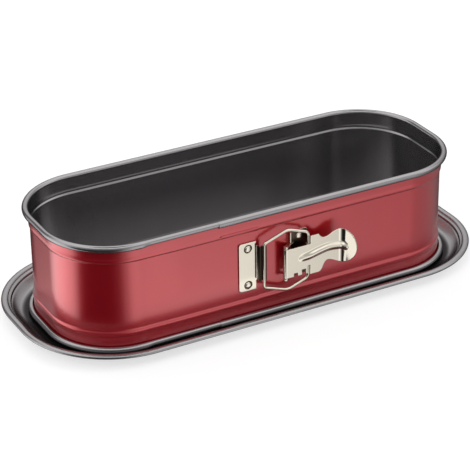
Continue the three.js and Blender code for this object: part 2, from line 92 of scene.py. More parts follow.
def addCamera():
    a, e, r = (math.radians(camera[k]) for k in ("azimuth", "elevation", "roll"))
    back = Vector((math.sin(a) * math.cos(e), -math.cos(a) * math.cos(e), math.sin(e)))
    right = Vector((math.cos(a), math.sin(a), 0))
    up = back.cross(right)
    rolledRight = math.cos(r) * right + math.sin(r) * up
    rolledUp = math.cos(r) * up - math.sin(r) * right
    data = bpy.data.cameras.new("photoCamera")
    data.lens = camera["lens"]
    data.sensor_width = camera["sensor"]
    data.shift_x = camera["shiftX"]
    data.shift_y = camera["shiftY"]
    data.clip_start = camera["near"]
    data.clip_end = camera["far"]
    obj = bpy.data.objects.new("photoCamera", data)
    bpy.context.scene.collection.objects.link(obj)
    turn = Matrix((rolledRight, rolledUp, back)).transposed()
    place = Vector(camera["target"]) + back * camera["distance"]
    obj.matrix_world = Matrix.Translation(place) @ turn.to_4x4()
    bpy.context.scene.camera = obj


addCamera()
bpy.context.scene.view_settings.view_transform = "Standard"
print("camera placed")

# studio: what a shiny surface sees round the table, by direction, left of the front counted positive
# it isn't a known studio: the levels were set to follow the light and dark that the photo's pan mirrors
studio = dict(
    tableRing=(
        (-180, 0.03), (-150, 0.03), (-120, 0.12), (-104, 0.25), (-84, 0.36), (-60, 0.42), (-36, 0.5),
        (-30, 0.85), (-25, 1.15), (-10, 1.1), (2, 0.5), (13, 0.08), (26, 0.01), (73, 0.01), (82, 0.08),
        (90, 0.9), (98, 1.5), (120, 1.85), (138, 1.75), (149, 1.05), (158, 0.2), (180, 0.03)),
    skyRing=(
        (-180, 1.3), (-150, 1.5), (-126, 1.2), (-110, 0.8), (-96, 0.75), (-80, 1.25), (-60, 1.3),
        (-42, 0.95), (-30, 0.75), (-18, 0.55), (0, 0.5), (18, 0.35), (36, 0.2), (54, 0.3), (70, 0.5),
        (88, 0.85), (104, 1.15), (126, 1.1), (140, 0.3), (164, 0.2), (180, 1.3)),
    horizon=(-0.05, 0.32), high=(0.6, 0.8), highLevel=1.5, zenith=(0.94, 0.99), zenithLevel=0.05,
    strongest=2.5, plainLevel=0.8,
    lampPower=13, lampSize=1.2,
    lamps=(("lampLeft", (-1.6, -1, 1.9), 1), ("lampRight", (1.7, -0.8, 1.8), 0.7),
           ("lampBack", (0.2, 1.8, 1.8), 0.8)),
    floorHalf=4000, paperGrey=0.8, paperLift=1.3, paperGlowShare=0.5,
    card=(-75, 8, -106, -81), cardHeight=1, cardLevel=1.15,
)


def addWorld():
    world = bpy.data.worlds.new("studio")
    bpy.context.scene.world = world
    world.use_nodes = True
    tree = world.node_tree
    tree.nodes.clear()
    where = addNode(tree, "ShaderNodeTexCoord")
    parts = addNode(tree, "ShaderNodeSeparateXYZ", links={0: where.outputs["Generated"]})
    minusX = addNode(tree, "ShaderNodeMath", {"operation": "MULTIPLY", 1: -1}, {0: parts.outputs["X"]})
    minusY = addNode(tree, "ShaderNodeMath", {"operation": "MULTIPLY", 1: -1}, {0: parts.outputs["Y"]})
    angle = addNode(tree, "ShaderNodeMath", {"operation": "ARCTAN2"},
                    {0: minusX.outputs[0], 1: minusY.outputs[0]})
    share = addNode(tree, "ShaderNodeMapRange", {"From Min": -math.pi, "From Max": math.pi},
                    {"Value": angle.outputs[0]})

    def grey(level):
        return [level / studio["strongest"]] * 3 + [1]

    rings = []
    for stops in (studio["tableRing"], studio["skyRing"]):
        ramp = addNode(tree, "ShaderNodeValToRGB", links={0: share.outputs[0]})
        ramp.color_ramp.interpolation = "EASE"
        while len(ramp.color_ramp.elements) < len(stops):
            ramp.color_ramp.elements.new(0.5)
        for element, (degrees, level) in zip(ramp.color_ramp.elements, stops):
            element.position = (degrees + 180) / 360
            element.color = grey(level)
        rings.append(ramp.outputs[0])
    # above the table's light come the sky ring, the plain upper sky and its dark cap, by height
    tableLight, skyLight = rings
    seen = tableLight
    for band, settings, links in (("horizon", {}, {mixSecond: skyLight}),
                                  ("high", {mixSecond: grey(studio["highLevel"])}, {}),
                                  ("zenith", {mixSecond: grey(studio["zenithLevel"])}, {})):
        low, top = studio[band]
        rise = addNode(tree, "ShaderNodeMapRange", {
            "interpolation_type": "SMOOTHSTEP", "From Min": low, "From Max": top,
        }, {"Value": parts.outputs["Z"]})
        mix = addNode(tree, "ShaderNodeMix", {"data_type": "RGBA"} | settings,
                      {mixShare: rise.outputs[0], mixFirst: seen} | links)
        seen = mix.outputs[mixedColour]
    white = (1, 1, 1, 1)
    mirrored = addNode(tree, "ShaderNodeBackground", {"Strength": studio["strongest"]}, {"Color": seen})
    plain = addNode(tree, "ShaderNodeBackground", {"Color": white, "Strength": studio["plainLevel"]})
    backdrop = addNode(tree, "ShaderNodeBackground", {"Color": white, "Strength": 1})
    path = addNode(tree, "ShaderNodeLightPath")
    lit = addNode(tree, "ShaderNodeMixShader", links={
        0: path.outputs["Is Glossy Ray"], 1: plain.outputs[0], 2: mirrored.outputs[0]})
    shown = addNode(tree, "ShaderNodeMixShader", links={
        0: path.outputs["Is Camera Ray"], 1: lit.outputs[0], 2: backdrop.outputs[0]})
    addNode(tree, "ShaderNodeOutputWorld", links={0: shown.outputs[0]})


def addLamp(name, place, share):
    data = bpy.data.lights.new(name, "AREA")
    data.shape = "SQUARE"
    data.size = studio["lampSize"]
    data.energy = studio["lampPower"] * share
    obj = bpy.data.objects.new(name, data)
    bpy.context.scene.collection.objects.link(obj)
    obj.location = place
    obj.rotation_euler = Vector(place).to_track_quat("Z", "Y").to_euler()
    obj.visible_glossy = False
    obj.visible_camera = False


def addFloor():
    # matt white paper, lifted for the camera so that it renders white and keeps the shadow
    material, tree = newMaterial("mattWhitePaper")
    paper = addNode(tree, "ShaderNodeBsdfDiffuse", {"Color": [studio["paperGrey"]] * 3 + [1]})
    path = addNode(tree, "ShaderNodeLightPath")
    lift = addNode(tree, "ShaderNodeMath", {"operation": "MULTIPLY", 1: studio["paperLift"]},
                   {0: path.outputs["Is Camera Ray"]})
    glow = addNode(tree, "ShaderNodeEmission", {"Color": (1, 1, 1, 1)}, {"Strength": lift.outputs[0]})
    both = addNode(tree, "ShaderNodeMixShader", {0: studio["paperGlowShare"]},
                   {1: paper.outputs[0], 2: glow.outputs[0]})
    addNode(tree, "ShaderNodeOutputMaterial", links={0: both.outputs[0]})
    half = studio["floorHalf"]
    corners = [(-half, -half, 0), (half, -half, 0), (half, half, 0), (-half, half, 0)]
    obj = addMesh("floor", corners, [(0, 1, 2, 3)], [material])
    obj.visible_glossy = False


# a small white card on the table, which only the shiny metal sees: the thumb tab mirrors it
def addCard():
    material, tree = newMaterial("litCard")
    glow = addNode(tree, "ShaderNodeEmission", {"Color": (1, 1, 1, 1), "Strength": studio["cardLevel"]})
    addNode(tree, "ShaderNodeOutputMaterial", links={0: glow.outputs[0]})
    left, right, near, far = studio["card"]
    height = studio["cardHeight"]
    corners = [(left, near, height), (right, near, height), (right, far, height), (left, far, height)]
    obj = addMesh("card", corners, [(0, 1, 2, 3)], [material])
    for kind in ("camera", "diffuse", "transmission", "volume_scatter", "shadow"):
        setattr(obj, "visible_" + kind, False)


addWorld()
for name, place, share in studio["lamps"]:
    addLamp(name, place, share)
addFloor()
addCard()
print("studio lit")

# red lacquer, sprayed thin and clear over bright steel: a candy red whose gloss stays neutral
lacquer = dict(
    hex="#c60a22", deepHex="#ba081d", metallic=0.64, roughness=(0.27, 0.34),
    coatIor=1.85, coatRoughness=0.19,
    cloudMm=38, peelMm=1.6, peelDepth=0.03,
)


def addLacquer():
    material, tree = newMaterial("redLacquerOnSteel")
    where = addNode(tree, "ShaderNodeTexCoord").outputs["Object"]
    cloud = addNode(tree, "ShaderNodeTexNoise", {
        "Scale": 1 / (lacquer["cloudMm"] * mm), "Detail": 3, "Roughness": 0.5}, {"Vector": where})
    # the coat's thickness drifts a little over some centimetres, and its red with it
    colour = addNode(tree, "ShaderNodeMix", {
        "data_type": "RGBA", mixFirst: linear(lacquer["hex"]), mixSecond: linear(lacquer["deepHex"]),
    }, {mixShare: cloud.outputs[0]})
    # the orange peel of sprayed lacquer, about 1.5 mm from swell to swell
    peel = addNode(tree, "ShaderNodeTexNoise", {"Scale": 1 / (lacquer["peelMm"] * mm), "Detail": 1},
                   {"Vector": where})
    bump = addNode(tree, "ShaderNodeBump", {"Strength": 1, "Distance": lacquer["peelDepth"] * mm},
                   {"Height": peel.outputs[0]})
    smoothest, dullest = lacquer["roughness"]
    rough = addNode(tree, "ShaderNodeMapRange", {"To Min": smoothest, "To Max": dullest},
                    {"Value": cloud.outputs[0]})
    shader = addNode(tree, "ShaderNodeBsdfPrincipled", {
        "Metallic": lacquer["metallic"], "Coat Weight": 1, "Coat IOR": lacquer["coatIor"],
        "Coat Roughness": lacquer["coatRoughness"],
    }, {"Base Color": colour.outputs[mixedColour], "Roughness": rough.outputs[0], "Normal": bump.outputs[0]})
    addNode(tree, "ShaderNodeOutputMaterial", links={0: shader.outputs[0]})
    return material


# graphite non-stick coating, sprayed and baked: a dull metallic grey with a fine sparkle
coating = dict(
    hex="#a09e9f", darkHex="#969395", edgeHex="#606060", metallic=0.92,
    ringRoughness=0.17, trayRoughness=0.27, speckMm=0.9, peelMm=1.8, peelDepth=0.006,
    # painted shade: heights in mm over which the ring's and the tray's colour darkens towards the bottom,
    # and the share of colour left at the bottom
    curlPaintedShade=(1, 4.5), trayPaintedShade=(0.5, 1.5), paintedShadeShare=0.15,
)


def addCoating(name, shadeHeights, roughness):
    material, tree = newMaterial(name)
    where = addNode(tree, "ShaderNodeTexCoord").outputs["Object"]
    # the sparkle's real grains are far finer, and are drawn 0.9 mm apart so that they show
    speck = addNode(tree, "ShaderNodeTexNoise", {
        "Scale": 1 / (coating["speckMm"] * mm), "Detail": 4, "Roughness": 0.7}, {"Vector": where})
    colour = addNode(tree, "ShaderNodeMix", {
        "data_type": "RGBA", mixFirst: linear(coating["hex"]), mixSecond: linear(coating["darkHex"]),
    }, {mixShare: speck.outputs[0]})
    # painted shade: the colour darkens towards the bottom, in the tray's channel and under it and low on the
    # ring's foot curl, where shade falls; darkened low down, to come near the photo's dark channel: its
    # cause isn't known
    parts = addNode(tree, "ShaderNodeSeparateXYZ", links={0: where})
    low, high = shadeHeights
    unshadedShare = addNode(tree, "ShaderNodeMapRange", {
        "interpolation_type": "SMOOTHSTEP", "From Min": low * mm, "From Max": high * mm,
        "To Min": coating["paintedShadeShare"],
    }, {"Value": parts.outputs["Z"]})
    shadedColour = addNode(tree, "ShaderNodeVectorMath", {"operation": "SCALE"},
                    {0: colour.outputs[mixedColour], "Scale": unshadedShare.outputs[0]})
    # the soft swells of a sprayed coat, about 2 mm across
    peel = addNode(tree, "ShaderNodeTexNoise", {"Scale": 1 / (coating["peelMm"] * mm), "Detail": 1},
                   {"Vector": where})
    bump = addNode(tree, "ShaderNodeBump", {"Strength": 1, "Distance": coating["peelDepth"] * mm},
                   {"Height": peel.outputs[0]})
    shader = addNode(tree, "ShaderNodeBsdfPrincipled", {
        "Metallic": coating["metallic"], "Roughness": roughness, "Specular Tint": linear(coating["edgeHex"]),
    }, {"Base Color": shadedColour.outputs[0], "Normal": bump.outputs[0]})
    addNode(tree, "ShaderNodeOutputMaterial", links={0: shader.outputs[0]})
    return material


# nickel plate on pressed steel, tumbled before plating: bright and warm, with soft hairline scratches
nickel = dict(hex="#e6dece", roughness=(0.06, 0.16), scratchMm=0.35, scratchLengthMm=9, scratchDepth=0.004)


def addNickel():
    material, tree = newMaterial("nickelPlatedSteel")
    where = addNode(tree, "ShaderNodeTexCoord")
    # real hairlines are finer than 0.1 mm, and are drawn 0.35 mm apart so that they show
    along, across = 1 / (nickel["scratchLengthMm"] * mm), 1 / (nickel["scratchMm"] * mm)
    stretch = addNode(tree, "ShaderNodeMapping", {"Scale": (along, across, across)},
                      {"Vector": where.outputs["Object"]})
    scratch = addNode(tree, "ShaderNodeTexNoise", {"Scale": 1, "Detail": 3}, {"Vector": stretch.outputs[0]})
    smoothest, dullest = nickel["roughness"]
    rough = addNode(tree, "ShaderNodeMapRange", {"To Min": smoothest, "To Max": dullest},
                    {"Value": scratch.outputs[0]})
    bump = addNode(tree, "ShaderNodeBump", {"Strength": 1, "Distance": nickel["scratchDepth"] * mm},
                   {"Height": scratch.outputs[0]})
    shader = addNode(tree, "ShaderNodeBsdfPrincipled", {"Base Color": linear(nickel["hex"]), "Metallic": 1},
                     {"Roughness": rough.outputs[0], "Normal": bump.outputs[0]})
    addNode(tree, "ShaderNodeOutputMaterial", links={0: shader.outputs[0]})
    return material


# painted shade: the same nickel plate, drawn dull and dark brown where it lies in shade;
# the same plate where the photo shows it dark, drawn dull and brown: the cause is a guess
paintedShadePlate = dict(hex="#54493f", roughness=0.3)


def addPaintedShadePlate():
    material, tree = newMaterial("nickelPaintedShade")
    shader = addNode(tree, "ShaderNodeBsdfPrincipled", {
        "Base Color": linear(paintedShadePlate["hex"]), "Metallic": 1, "Roughness": paintedShadePlate["roughness"]})
    addNode(tree, "ShaderNodeOutputMaterial", links={0: shader.outputs[0]})
    return material


redLacquer = addLacquer()
nonStick = addCoating("graphiteNonStickRing", coating["curlPaintedShade"], coating["ringRoughness"])
trayNonStick = addCoating("graphiteNonStickTray", coating["trayPaintedShade"], coating["trayRoughness"])
nickelPlate = addNickel()
paintedShadeNickel = addPaintedShadePlate()
print("materials made")


# 0 to 1 with soft ends
def swell(share):
    share = min(max(share, 0), 1)
    return share * share * (3 - 2 * share)


# points on a circle, angles in degrees
def arc(cx, cy, radius, start, end, steps):
    turns = np.radians(np.linspace(start, end, steps + 1))
    return [(cx + radius * math.cos(t), cy + radius * math.sin(t)) for t in turns]


# points on a Bezier curve of any degree, without its first point
def bezier(controls, steps):
    points = []
    for t in np.linspace(0, 1, steps + 1)[1:]:
        row = [np.array(c, float) for c in controls]
        while len(row) > 1:
            row = [(1 - t) * a + t * b for a, b in zip(row, row[1:])]
        points.append(tuple(row[0]))
    return points


# Catmull-Rom through rows of numbers, evenly spaced
def smoothCurve(rows, share):
    rows = np.array(rows, float)
    last = len(rows) - 1
    place = min(max(share, 0), 1) * last
    i = min(int(place), last - 1)
    t = place - i
    before = rows[i - 1] if i else 2 * rows[0] - rows[1]
    after = rows[i + 2] if i + 2 <= last else 2 * rows[last] - rows[last - 1]
    a, b = rows[i], rows[i + 1]
    bend = 2 * before - 5 * a + 4 * b - after
    twist = 3 * a - before - 3 * b + after
    return 0.5 * (2 * a + (b - before) * t + bend * t ** 2 + twist * t ** 3)


# a line without points that fall together
def cleanLine(points):
    together = 1e-4
    kept = [points[0]]
    for p in points[1:]:
        if math.dist(p, kept[-1]) > together:
            kept.append(p)
    return np.array(kept)


# the least share of a step that a mitre is worked out from
mitreLimit = 0.5


# unit directions along a line of points, averaged at each
def directions(line):
    step = np.diff(line, axis=0)
    step /= np.linalg.norm(step, axis=1, keepdims=True)
    into = np.vstack([step[:1], step])
    away = np.vstack([step, step[-1:]])
    along = into + away
    along /= np.linalg.norm(along, axis=1, keepdims=True)
    return along, np.maximum((along * away).sum(1), mitreLimit)


# right side of a bent sheet forward, then its left side back
def thicken(line, thickness):
    along, share = directions(line)
    reach = (thickness / 2 / share)[:, None]
    side = np.stack([-along[:, 1], along[:, 0]], 1)
    return np.vstack([line - side * reach, (line + side * reach)[::-1]])


# quads between rows of points of equal count, each row a closed loop, and a face on each end
def skin(rows, columns):
    faces = []
    for i in range(rows - 1):
        a, b = i * columns, (i + 1) * columns
        for j in range(columns):
            k = (j + 1) % columns
            faces.append((a + j, a + k, b + k, b + j))
    return faces + [tuple(reversed(range(columns))), tuple(range((rows - 1) * columns, rows * columns))]


# smooth shading, but for edges sharper than this angle in degrees
sharpAngle = 38


def shadeSmooth(mesh, sharp=sharpAngle):
    mesh.shade_smooth()
    mesh.set_sharp_from_angle(angle=math.radians(sharp))


# rides on its body in the place of its node
def dress(obj, node, body):
    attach(obj, body)
    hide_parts(node)
    obj.name = node + "_dressed"


def addPiece(node, points, faces, body, materials, kinds=None, sharp=sharpAngle):
    obj = addMesh(node, points, faces, materials, kinds)
    obj.data.validate()
    shadeSmooth(obj.data, sharp)
    dress(obj, node, body)


# the spring-steel ring, in mm over its curls
ring = dict(
    length=304.6, width=120.4, cornerRadius=49.4,
    bandHeight=79, rimDrop=0.1, sheet=0.5, curlRadius=2.3, curlTurn=290,
    beadDepth=0.5, beadToEdge=13.2, beadRise=0.35, beadRun=3.2, beadCrest=0.6, upperFall=1.7, lowerFall=3,
    plyGap=0.3, wallGap=0.05, neckLength=6, neckSwell=0.35, wallEase=30,
    tongueLength=29, tongueMargin=1.6, tongueOver=1.3, curlEngagement=1.6, notchRadius=0.9, cutOverrun=3,
    cornerSteps=40, curlSteps=32, beadSteps=8, neckSteps=60, notchSteps=36,
)


# middle line of the band, from the rim curl's free end down to the foot curl's
def bandLine(radius, wallRadius):
    r = radius - ring["sheet"] / 2
    wall = ring["sheet"] / 2 - wallRadius
    ridge = wall + ring["beadRise"]
    deep = wall - ring["beadDepth"]

    def ease(start, end):
        half = (start[1] + end[1]) / 2
        return bezier([start, (start[0], half), (end[0], half), end], ring["beadSteps"])

    crest = upperBeadZ + ring["beadCrest"]
    swelled = ring["neckSwell"] * (ring["curlRadius"] - radius) / plyStep
    r += swelled
    # the rim's true arc is kept just under the top of the faceted one in the frame
    rimZ = rimCurlZ - ring["rimDrop"] + swelled
    line = arc(0, rimZ, r, 180 - ring["curlTurn"], 180, ring["curlSteps"])
    line += ease((-r, rimZ), (wall, upperBeadZ + ring["beadRun"]))
    line += ease((wall, upperBeadZ + ring["beadRun"]), (ridge, crest))
    line += ease((ridge, crest), (deep, upperBeadZ - ring["upperFall"]))
    crest = lowerBeadZ - ring["beadCrest"]
    line += [(deep, lowerBeadZ + ring["lowerFall"])]
    line += ease((deep, lowerBeadZ + ring["lowerFall"]), (ridge, crest))
    line += ease((ridge, crest), (wall, lowerBeadZ - ring["beadRun"]))
    line += ease((wall, lowerBeadZ - ring["beadRun"]), (-r, lowCurlZ + swelled))
    line += arc(0, lowCurlZ + swelled, r, 180, 180 + ring["curlTurn"], ring["curlSteps"])
    return cleanLine(line)


# stations round the ring: place, facing, curl radius and the wall's own radius, which necks in more gently
def ringStations():
    wide = ring["curlRadius"]
    stations = [(tongueEndX, -halfWidth, -90, neckedRadius, wide - wallStep)]
    for x in np.linspace(ring["wallEase"], 0, ring["neckSteps"] + 1)[:-1]:
        radius = wide - plyStep * swell(x / ring["neckLength"])
        wallRadius = wide - wallStep * swell(x / ring["wallEase"])
        stations.append((x - cornerX, -halfWidth, -90, radius, wallRadius))
    for sx, sy, start in ((-1, -1, -90), (-1, 1, -180), (1, 1, -270), (1, -1, -360)):
        for turn in np.linspace(start, start - 90, ring["cornerSteps"] + 1):
            t = math.radians(turn)
            x, y = sx * cornerX + planRadius * math.cos(t), sy * cornerY + planRadius * math.sin(t)
            stations.append((x, y, turn, wide, wide))
    stations.append((lapX, -halfWidth, -90, wide, wide))
    return stations


def bandBetween(stations):
    points = []
    for x, y, facing, radius, wallRadius in stations:
        fx, fy = math.cos(math.radians(facing)), math.sin(math.radians(facing))
        for across, height in thicken(bandLine(radius, wallRadius), ring["sheet"]):
            points.append((x + fx * across, y + fy * across, height))
    rows = len(stations)
    columns = len(points) // rows
    # the first half of the section is the pan's inside and the bare of the curls, the rest is the red side
    kinds = [int(columns // 2 <= j < columns - 1) for j in range(columns)] * (rows - 1) + [0, 0]
    return points, skin(rows, columns), kinds


# the strip is made as two bands that meet behind, so that only the left one is cut at its tongue
def addRing():
    stations = ringStations()
    middle = 1 + ring["neckSteps"] + 2 * (ring["cornerSteps"] + 1)
    back = (0, halfWidth, 90, ring["curlRadius"], ring["curlRadius"])
    bands = []
    for name, part in (("leftBand", stations[:middle] + [back]), ("side_wall", [back] + stations[middle:])):
        points, faces, kinds = bandBetween(part)
        bands.append(addMesh(name, points, faces, [nonStick, redLacquer], kinds))
    left, right = bands
    cutTongue(left)
    joined = bmesh.new()
    for obj in bands:
        joined.from_mesh(obj.data)
    touching = 1e-7
    seam = [f for f in joined.faces if all(abs(v.co.x) < touching for v in f.verts)]
    bmesh.ops.delete(joined, geom=seam, context="FACES")
    meeting = [v for v in joined.verts if abs(v.co.x) < touching]
    bmesh.ops.remove_doubles(joined, verts=meeting, dist=10 * touching)
    joined.to_mesh(right.data)
    joined.free()
    bpy.data.objects.remove(left)
    shadeSmooth(right.data)
    dress(right, "side_wall", "ring")


# the tongue's curls and their bands are cut away, with a round relief in each corner
def cutTongue(obj):
    reach = 3 * ring["curlRadius"]
    relief = ring["notchRadius"]
    end = tongueEndX + ring["cutOverrun"]
    loops = []
    for side in (-1, 1):
        edge = side * ((upperBeadZ - lowerBeadZ) / 2 + ring["tongueOver"])
        far = side * (ring["bandHeight"] / 2 + reach)
        block = [(notchX, edge), (end, edge), (end, far), (notchX, far)]
        loops.append(block if side > 0 else block[::-1])
        loops.append(arc(notchX + relief / 2, edge, relief, 0, 360, ring["notchSteps"])[:-1])
    cutters = []
    for loop in loops:
        n = len(loop)
        points = [(x, y, z + latchZ) for y in (-halfWidth - reach, -halfWidth + reach) for x, z in loop]
        faces = [tuple(range(n)), tuple(reversed(range(n, 2 * n)))]
        faces += [((i + 1) % n, i, n + i, n + (i + 1) % n) for i in range(n)]
        # cut edges are red, like the outside
        cutter = addMesh("cutter", points, faces, [nonStick, redLacquer], [1] * len(faces))
        cutters.append(cutter)
        cut = obj.modifiers.new("cut", "BOOLEAN")
        cut.operation = "DIFFERENCE"
        cut.solver = "EXACT"
        cut.object = cutter
    bpy.context.view_layer.update()
    made = bpy.data.meshes.new_from_object(obj.evaluated_get(bpy.context.evaluated_depsgraph_get()))
    obj.modifiers.clear()
    obj.data = made
    for cutter in cutters:
        bpy.data.objects.remove(cutter)


# the loose tray: a raised floor inside, a channel for the ring, a flange and a rolled rim
tray = dict(
    sheet=0.6, plateauHeight=4.6, plateauClearance=0.6, bendRadius=1,
    channelMargin=1.6, flangeWidth=9.4, flangeRise=5.9, stepWidth=1.2, stepRise=1.8, landWidth=1.3,
    rollRadius=2.4, rollHalfHeight=1.6, rollZ=8.9, rollTurn=280,
    bendSteps=10, rollSteps=32,
)


# middle line of the tray, across from the curls' centre line, from the raised floor out to the rolled rim
def trayLine():
    floor = tray["sheet"] / 2
    top = tray["plateauHeight"] - tray["sheet"] / 2
    skirt = -(ring["curlRadius"] + tray["plateauClearance"] + tray["sheet"] / 2)
    bend, steps = tray["bendRadius"], tray["bendSteps"]
    flange = ring["curlRadius"] + tray["channelMargin"]
    step = flange + tray["flangeWidth"]
    stepEnd = step + tray["stepWidth"]
    land = stepEnd + tray["landWidth"]
    flangeZ = floor + tray["flangeRise"]
    landZ = flangeZ + tray["stepRise"]
    roll = tray["rollRadius"] - tray["sheet"] / 2
    half = step + tray["stepWidth"] / 2
    line = arc(skirt - bend, top - bend, bend, 90, 0, steps)
    line += arc(skirt + bend, floor + bend, bend, 180, 270, steps)
    line += [(flange, floor)]
    line += bezier([(flange, floor), (flange + tray["flangeWidth"] / 2, floor), (step, flangeZ)], steps)
    line += bezier([(step, flangeZ), (half, flangeZ), (half, landZ), (stepEnd, landZ)], steps)
    flat = (tray["rollHalfHeight"] - tray["sheet"] / 2) / roll
    rolled = arc(land + roll, 0, roll, 180, 180 - tray["rollTurn"], tray["rollSteps"])
    line += [(x, tray["rollZ"] + z * flat) for x, z in rolled]
    return cleanLine(line)


def addTray():
    plan = []
    for sx, sy, start in ((-1, -1, 180), (1, -1, 270), (1, 1, 0), (-1, 1, 90)):
        for turn in np.radians(np.linspace(start, start + 90, ring["cornerSteps"] + 1)):
            plan.append((sx * cornerX, sy * cornerY, math.cos(turn), math.sin(turn)))
    points = []
    for across, height in thicken(trayLine(), tray["sheet"]):
        reach = planRadius + across
        points += [(cx + fx * reach, cy + fy * reach, height) for cx, cy, fx, fy in plan]
    faces = skin(len(points) // len(plan), len(plan))
    addPiece("base_plate", points, faces, "tray", [trayNonStick])


# what the latch's pieces share; its heights are counted from half way up the ring
latch = dict(sheet=0.8, seatGap=0.05, standoff=7.4, softEdge=0.14, edgeTurns=(30, 60, 90), boreSteps=28)


def atLatch(x, out, height):
    return (x, -wallFront - out, latchZ + height)


# place and left-hand normal at a distance along a bent line
def follow(line):
    steps = np.linalg.norm(np.diff(line, axis=0), axis=1)
    travelled = np.concatenate([[0], np.cumsum(steps)])
    along, _ = directions(line)

    def at(distance):
        x = np.interp(distance, travelled, line[:, 0])
        out = np.interp(distance, travelled, line[:, 1])
        dx = np.interp(distance, travelled, along[:, 0])
        dy = np.interp(distance, travelled, along[:, 1])
        size = math.hypot(dx, dy)
        return x, out, -dy / size, dx / size

    return at, travelled[-1]


# a function that bends a flat blank along such a line, from a start place
def bendAlong(at, startX=0, startOut=0):
    def place(s, height, rise):
        x, out, nx, ny = at(s)
        return atLatch(startX + x + nx * rise, startOut + out + ny * rise, height)

    return place


def inside(points, loop):
    x, y = points[:, 0], points[:, 1]
    odd = np.zeros(len(points), bool)
    for (ax, ay), (bx, by) in zip(loop, np.roll(loop, -1, axis=0)):
        if ay == by:
            continue
        crosses = (ay > y) != (by > y)
        odd ^= crosses & (x < (bx - ax) * (y - ay) / (by - ay) + ax)
    return odd


# on the metal: within the first loop and in none of the others, which are holes
def onMetal(points, loops):
    keep = inside(points, loops[0])
    for hole in loops[1:]:
        keep &= ~inside(points, hole)
    return keep


# a loop with its long sides broken up
def subdivide(loop, spacing):
    slack = 0.01
    points = []
    for a, b in zip(loop, loop[1:] + loop[:1]):
        parts = max(1, math.ceil(math.dist(a, b) / spacing - slack))
        points += [tuple(np.array(a) + (np.array(b) - np.array(a)) * k / parts) for k in range(parts)]
    return cleanLine(points)


# outward directions of a loop that runs against the clock round metal, or with it round a hole
def outward(loop):
    step = np.roll(loop, -1, axis=0) - loop
    step /= np.linalg.norm(step, axis=1, keepdims=True)
    into = np.roll(step, 1, axis=0)
    along = into + step
    along /= np.linalg.norm(along, axis=1, keepdims=True)
    share = np.maximum((along * step).sum(1), mitreLimit)[:, None]
    return np.stack([along[:, 1], -along[:, 0]], 1) / share


# grid points on the metal, in rows of triangles, clear of the given points
def gridPoints(loops, taken, spacing):
    rowShare, clearShare = 0.87, 0.45
    low, high = loops[0].min(0), loops[0].max(0)
    grid = []
    for row, z in enumerate(np.arange(low[1] + spacing / 2, high[1], spacing * rowShare)):
        for s in np.arange(low[0] + spacing * (0.5 + 0.5 * (row % 2)), high[0], spacing):
            grid.append((s, z))
    grid = np.array(grid)
    grid = grid[onMetal(grid, loops)]
    near = np.array([np.min(np.hypot(*(taken - p).T)) for p in grid])
    return list(map(tuple, grid[near > spacing * clearShare]))


# a pressed sheet with rounded edges: outline and holes on the flat blank, then bent into place
# by the place function, with marks kept as edges
def formedSheet(outline, holes, place, thickness, spacing, marks=()):
    edge = latch["softEdge"]
    loops = [subdivide(list(map(tuple, loop)), spacing) for loop in [outline, *holes]]
    normals = [outward(loop) for loop in loops]
    inset = [loop - normal * edge for loop, normal in zip(loops, normals)]
    flat, edges = [], []
    for loop in inset:
        n = len(loop)
        edges += [(len(flat) + i, len(flat) + (i + 1) % n) for i in range(n)]
        flat += list(map(tuple, loop))
    rimCount = len(flat)
    for mark in marks:
        edges += [(len(flat) + i, len(flat) + i + 1) for i in range(len(mark) - 1)]
        flat += list(map(tuple, mark))
    flat += gridPoints(inset, np.array(flat), spacing)
    together = 1e-7
    verts, _, tris, origins, _, _ = delaunay_2d_cdt([Vector(p) for p in flat], edges, [], 0, together)
    verts = np.array([tuple(v) for v in verts])
    centres = np.array([verts[list(t)].mean(0) for t in tris])
    tris = [tuple(t) for t, keep in zip(tris, onMetal(centres, inset)) if keep]
    rimOf = {name: i for i, names in enumerate(origins) for name in names if name < rimCount}
    half = thickness / 2
    points = [place(s, z, half) for s, z in verts] + [place(s, z, -half) for s, z in verts]
    count = len(verts)
    faces = tris + [tuple(reversed([i + count for i in t])) for t in tris]
    turns = np.radians(latch["edgeTurns"])
    profile = [(edge * (1 - math.sin(t)), half - edge * (1 - math.cos(t))) for t in turns]
    profile += [(back, -rise) for back, rise in reversed(profile)]
    start = 0
    for loop, normal in zip(loops, normals):
        n = len(loop)
        rows = [[rimOf[start + i] for i in range(n)]]
        for back, rise in profile:
            rows.append(list(range(len(points), len(points) + n)))
            points += [place(s, z, rise) for s, z in loop - normal * back]
        rows.append([i + count for i in rows[0]])
        for a, b in zip(rows, rows[1:]):
            faces += [(a[i], b[i], b[(i + 1) % n], a[(i + 1) % n]) for i in range(n)]
        start += n
    return points, faces


def merge(shapes):
    points, faces = [], []
    for morePoints, moreFaces in shapes:
        faces += [tuple(i + len(points) for i in face) for face in moreFaces]
        points += list(morePoints)
    return points, faces


# the catch plate: flat on the tongue, then up a riser, over a crest and down into the seat of the bail
catch = dict(
    width=13.54, height=36, corner=2, rivetInset=4.5, rivetX=6.8,
    crestRadius=0.42, lip=0.2, hookBottom=11, seatPlay=0.5, seatDip=20, riserLean=0.1, riserBend=0.6,
    dishRadius=3.15, dishDepth=0.5, dishSlope=0.3, dishSteps=40, paintedShadeMargin=0.1,
    spacing=0.5, bendSteps=8, seatSteps=10,
)


